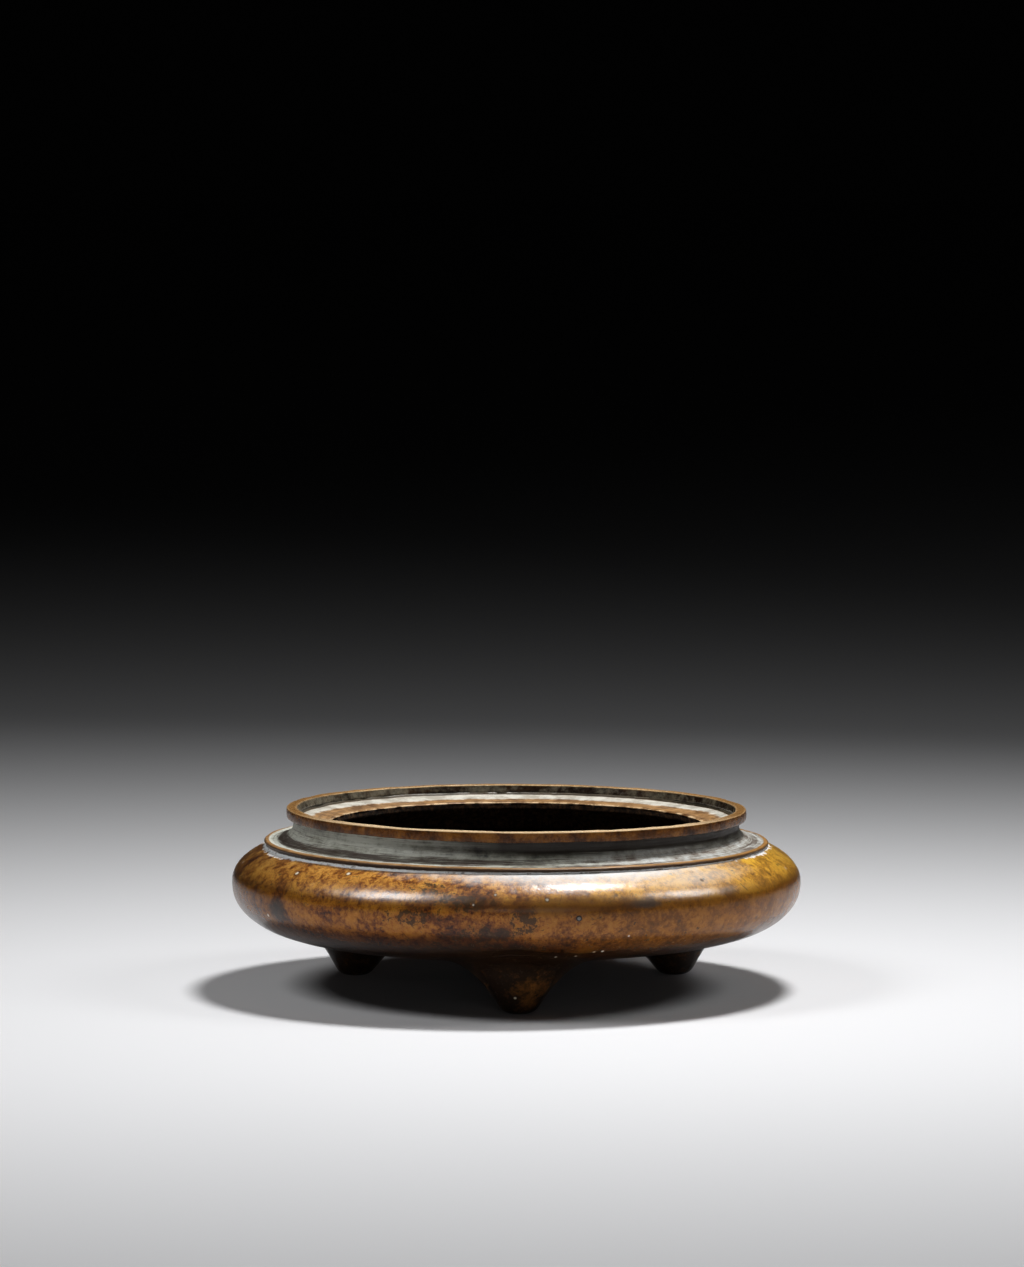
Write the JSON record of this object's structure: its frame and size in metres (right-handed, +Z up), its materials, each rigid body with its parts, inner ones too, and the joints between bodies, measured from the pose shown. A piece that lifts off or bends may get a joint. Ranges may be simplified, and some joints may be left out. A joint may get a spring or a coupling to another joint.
{
  "type": "incense burner",
  "caption": "Squat round bronze incense burner with a bulging hollow belly, waisted neck, upright flat-topped lip and cone-shaped feet.",
  "frame": {"origin": "on the bowl's axis, at the level of the floor under the feet", "axes": "+Z up along the bowl's axis; one foot lies towards -Y, which is the front"},
  "size_m": [0.1704, 0.1704, 0.054],
  "materials": {
    "belly_bronze": "golden brown patina, worn and mottled dark",
    "neck_bronze": "pale grey-green coat in the hollow, brown on the bead and ledge",
    "lip_bronze": "brown patina, worn on the edges",
    "foot_bronze": "dark brown patina, worn golden on high spots",
    "pin_bronze": "grey"
  },
  "bodies": {
    "root": {"bowl": "belly_bronze", "neck_collar": "neck_bronze", "lip_ring": "lip_bronze", "foot_front": "foot_bronze", "foot_rear_right": "foot_bronze", "foot_rear_left": "foot_bronze", "core_pin_front": "pin_bronze", "core_pin_rear_right": "pin_bronze", "core_pin_rear_left": "pin_bronze"}
  },
  "joints": []
}
